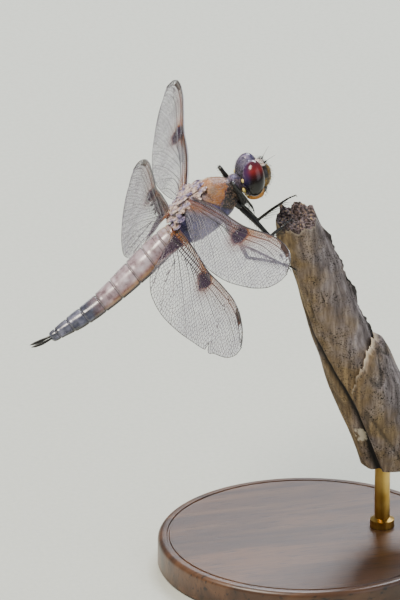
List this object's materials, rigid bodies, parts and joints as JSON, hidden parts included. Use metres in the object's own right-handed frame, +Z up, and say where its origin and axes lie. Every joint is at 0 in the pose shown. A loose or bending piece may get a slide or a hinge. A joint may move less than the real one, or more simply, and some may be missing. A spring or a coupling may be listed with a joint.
{
  "type": "dragonfly",
  "caption": "Four-spotted chaser dragonfly resting on a broken stem, wings spread, as a still museum model on a small round stand.",
  "frame": {"origin": "middle of the flat underside of the round stand base", "axes": "+Z up, +X the way the dragonfly heads, +Y to its left, from wing tip to wing tip"},
  "size_m": [0.0666, 0.0766, 0.069],
  "materials": {
    "head": "horny, hairy, dark with yellow spots",
    "eye": "smooth and wet-looking, dark red above, nearly black below",
    "face": "smooth golden yellow",
    "horn": "black, satin",
    "thorax": "tan brown under short pale hair",
    "abdomen": "satin orange brown with a pinkish grey sheen",
    "tail": "satin grey black with a blue sheen",
    "wing": "clear, dull-shining, with dark and amber veins",
    "leg": "black, satin, bristly",
    "dead_wood": "weathered grey brown bark",
    "stained_wood": "dark stained, waxed",
    "rod": "brushed"
  },
  "bodies": {
    "root": {"head": "head", "vertex": "head", "eye_left": "eye", "eye_right": "eye", "face": "face", "mouthparts": "face", "antenna_left": "horn", "antenna_right": "horn", "cercus_left": "horn", "cercus_right": "horn", "prothorax": "thorax", "thorax": "thorax", "abdomen_01": "abdomen", "abdomen_02": "abdomen", "abdomen_03": "abdomen", "abdomen_04": "abdomen", "abdomen_05": "abdomen", "abdomen_06": "abdomen", "abdomen_07": "tail", "abdomen_08": "tail", "abdomen_09": "tail", "abdomen_10": "tail", "forewing_left": "wing", "forewing_right": "wing", "hindwing_left": "wing", "hindwing_right": "wing", "foreleg_left_coxa": "leg", "foreleg_left_femur": "leg", "foreleg_left_tibia": "leg", "foreleg_left_tarsus": "leg", "foreleg_right_coxa": "leg", "foreleg_right_femur": "leg", "foreleg_right_tibia": "leg", "foreleg_right_tarsus": "leg", "midleg_left_coxa": "leg", "midleg_left_femur": "leg", "midleg_left_tibia": "leg", "midleg_left_tarsus": "leg", "midleg_right_coxa": "leg", "midleg_right_femur": "leg", "midleg_right_tibia": "leg", "midleg_right_tarsus": "leg", "hindleg_left_coxa": "leg", "hindleg_left_femur": "leg", "hindleg_left_tibia": "leg", "hindleg_left_tarsus": "leg", "hindleg_right_coxa": "leg", "hindleg_right_femur": "leg", "hindleg_right_tibia": "leg", "hindleg_right_tarsus": "leg", "perch": "dead_wood", "perch_bark": "dead_wood", "stand_base": "stained_wood", "stand_rod": "rod"}
  },
  "joints": []
}
